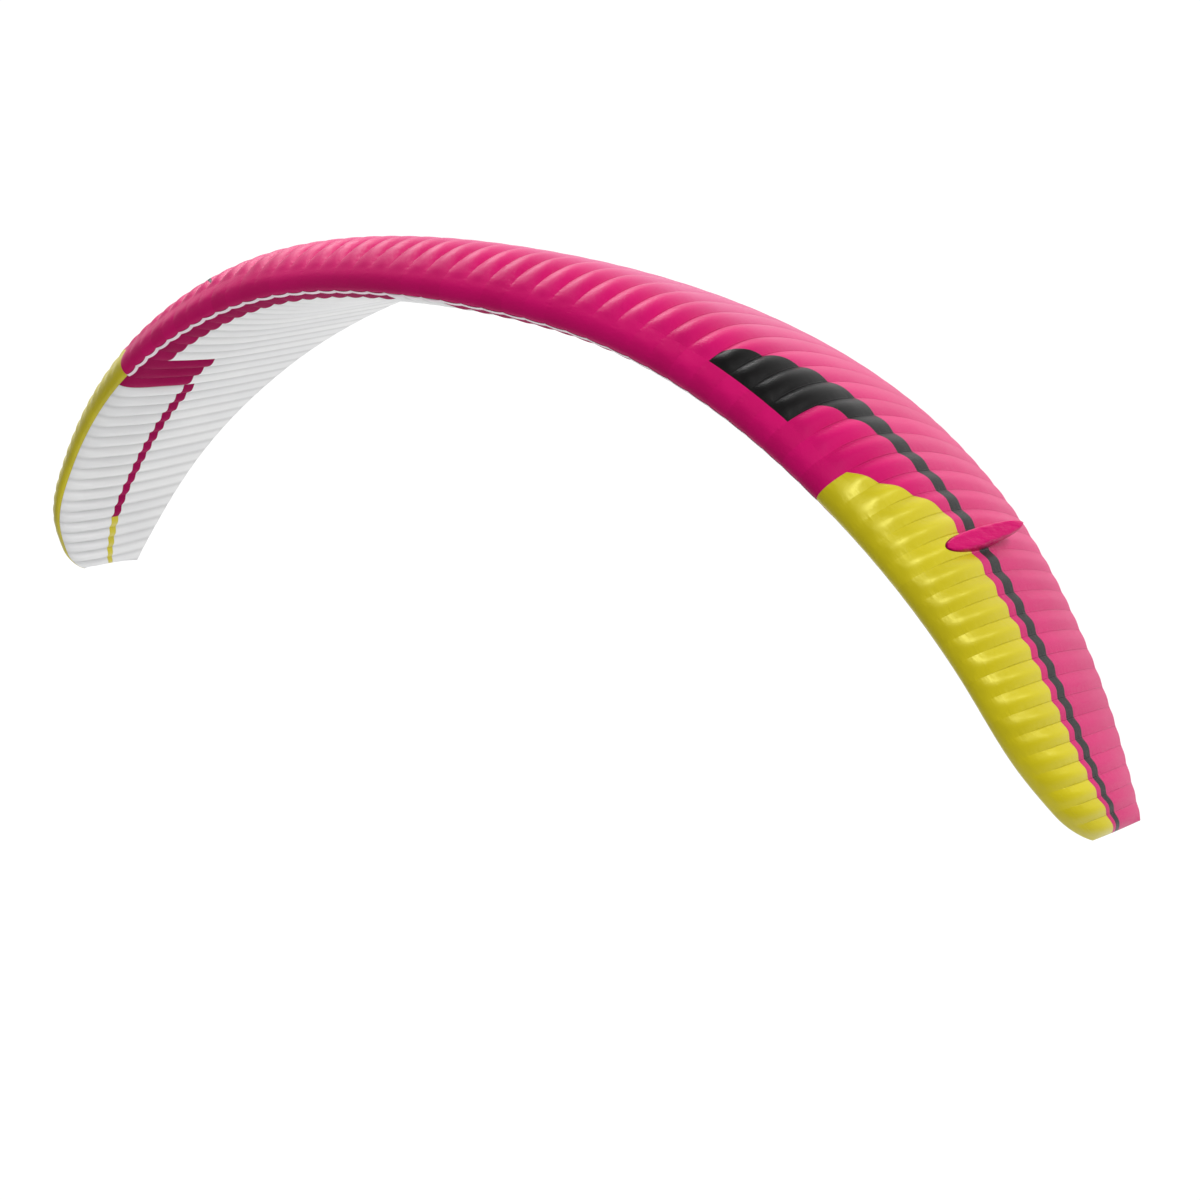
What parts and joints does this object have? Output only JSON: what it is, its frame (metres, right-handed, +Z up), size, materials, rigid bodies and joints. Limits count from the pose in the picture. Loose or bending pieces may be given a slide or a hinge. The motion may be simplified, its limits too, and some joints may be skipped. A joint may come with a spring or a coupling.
{
  "type": "paraglider wing",
  "caption": "Inflated paraglider wing, arched in flight, with bulging cells, coloured cloth panels and a small fin near each tip.",
  "frame": {"origin": "middle of the front line row, on the crown of the middle cell of the lower skin, a tenth of the chord behind the nose", "axes": "+X along the span, towards the right half of the picture; the leading edge faces -Y; +Z up in level flight"},
  "size_m": [10.1694, 2.3262, 3.3511],
  "materials": {
    "pink_cloth": "coated ripstop, slight sheen",
    "yellow_cloth": "coated ripstop, slight sheen",
    "dark_cloth": "coated ripstop, slight sheen",
    "white_cloth": "coated ripstop, soft",
    "magenta_cloth": "coated ripstop, slight sheen",
    "fin_cloth": "coated ripstop, slight sheen"
  },
  "bodies": {
    "root": {"band_below_inner_left": "magenta_cloth", "band_below_inner_right": "magenta_cloth", "band_below_outer_left": "magenta_cloth", "band_below_outer_right": "magenta_cloth", "band_top_left": "dark_cloth", "band_top_right": "dark_cloth", "below_behind_block_left": "white_cloth", "below_behind_block_right": "white_cloth", "below_front_inner_left": "white_cloth", "below_front_inner_right": "white_cloth", "below_front_middle": "white_cloth", "below_front_outer_left": "white_cloth", "below_front_outer_right": "white_cloth", "below_inner_left": "white_cloth", "below_inner_right": "white_cloth", "below_middle": "white_cloth", "below_outer_left": "white_cloth", "below_outer_right": "white_cloth", "below_rear_inner_left": "white_cloth", "below_rear_inner_right": "white_cloth", "below_rear_outer_left": "white_cloth", "below_rear_outer_right": "white_cloth", "block_below_left": "magenta_cloth", "block_below_right": "magenta_cloth", "fin_left": "fin_cloth", "fin_right": "fin_cloth", "nose_inner_left": "pink_cloth", "nose_inner_right": "pink_cloth", "nose_middle": "pink_cloth", "nose_outer_left": "pink_cloth", "nose_outer_right": "pink_cloth", "nose_tip_inner_left": "yellow_cloth", "nose_tip_inner_right": "yellow_cloth", "nose_tip_outer_left": "yellow_cloth", "nose_tip_outer_right": "yellow_cloth", "stripe_below_left": "magenta_cloth", "stripe_below_right": "magenta_cloth", "stripe_below_tip_left": "yellow_cloth", "stripe_below_tip_right": "yellow_cloth", "stripe_top_left": "dark_cloth", "stripe_top_right": "dark_cloth", "top_front_outer_left": "pink_cloth", "top_front_outer_right": "pink_cloth", "top_inner_left": "pink_cloth", "top_inner_right": "pink_cloth", "top_middle": "pink_cloth", "top_rear_outer_left": "pink_cloth", "top_rear_outer_right": "pink_cloth", "top_rear_tip_inner_left": "pink_cloth", "top_rear_tip_inner_right": "pink_cloth", "top_rear_tip_outer_left": "pink_cloth", "top_rear_tip_outer_right": "pink_cloth", "top_strip_inner_left": "pink_cloth", "top_strip_inner_right": "pink_cloth", "top_strip_outer_left": "pink_cloth", "top_strip_outer_right": "pink_cloth", "top_yellow_inner_left": "yellow_cloth", "top_yellow_inner_right": "yellow_cloth", "top_yellow_outer_left": "yellow_cloth", "top_yellow_outer_right": "yellow_cloth"}
  },
  "joints": []
}
